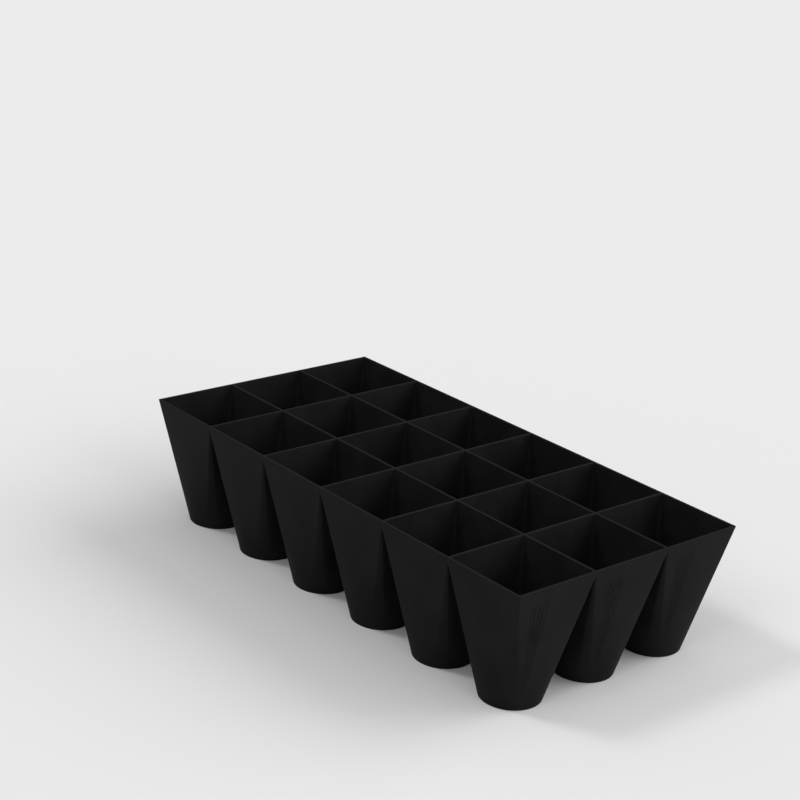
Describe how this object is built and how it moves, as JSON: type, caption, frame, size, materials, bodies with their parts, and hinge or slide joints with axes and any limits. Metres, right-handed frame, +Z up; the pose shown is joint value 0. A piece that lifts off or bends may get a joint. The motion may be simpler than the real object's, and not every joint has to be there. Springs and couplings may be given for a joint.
{
  "type": "seed tray",
  "caption": "Black plastic seed tray: a grid of thin cups, square at the rim and round at the base, that hold compost for one seedling each.",
  "frame": {"origin": "centre of the tray's footprint, on the surface that the cells stand on", "axes": "+X along the tray's length, +Y across it, +Z up, out of the cells' mouths"},
  "size_m": [0.2484, 0.1248, 0.058],
  "materials": {
    "black_plastic": "satin"
  },
  "bodies": {
    "root": {"cell_a1": "black_plastic", "cell_a2": "black_plastic", "cell_a3": "black_plastic", "cell_a4": "black_plastic", "cell_a5": "black_plastic", "cell_a6": "black_plastic", "cell_b1": "black_plastic", "cell_b2": "black_plastic", "cell_b3": "black_plastic", "cell_b4": "black_plastic", "cell_b5": "black_plastic", "cell_b6": "black_plastic", "cell_c1": "black_plastic", "cell_c2": "black_plastic", "cell_c3": "black_plastic", "cell_c4": "black_plastic", "cell_c5": "black_plastic", "cell_c6": "black_plastic"}
  },
  "joints": []
}
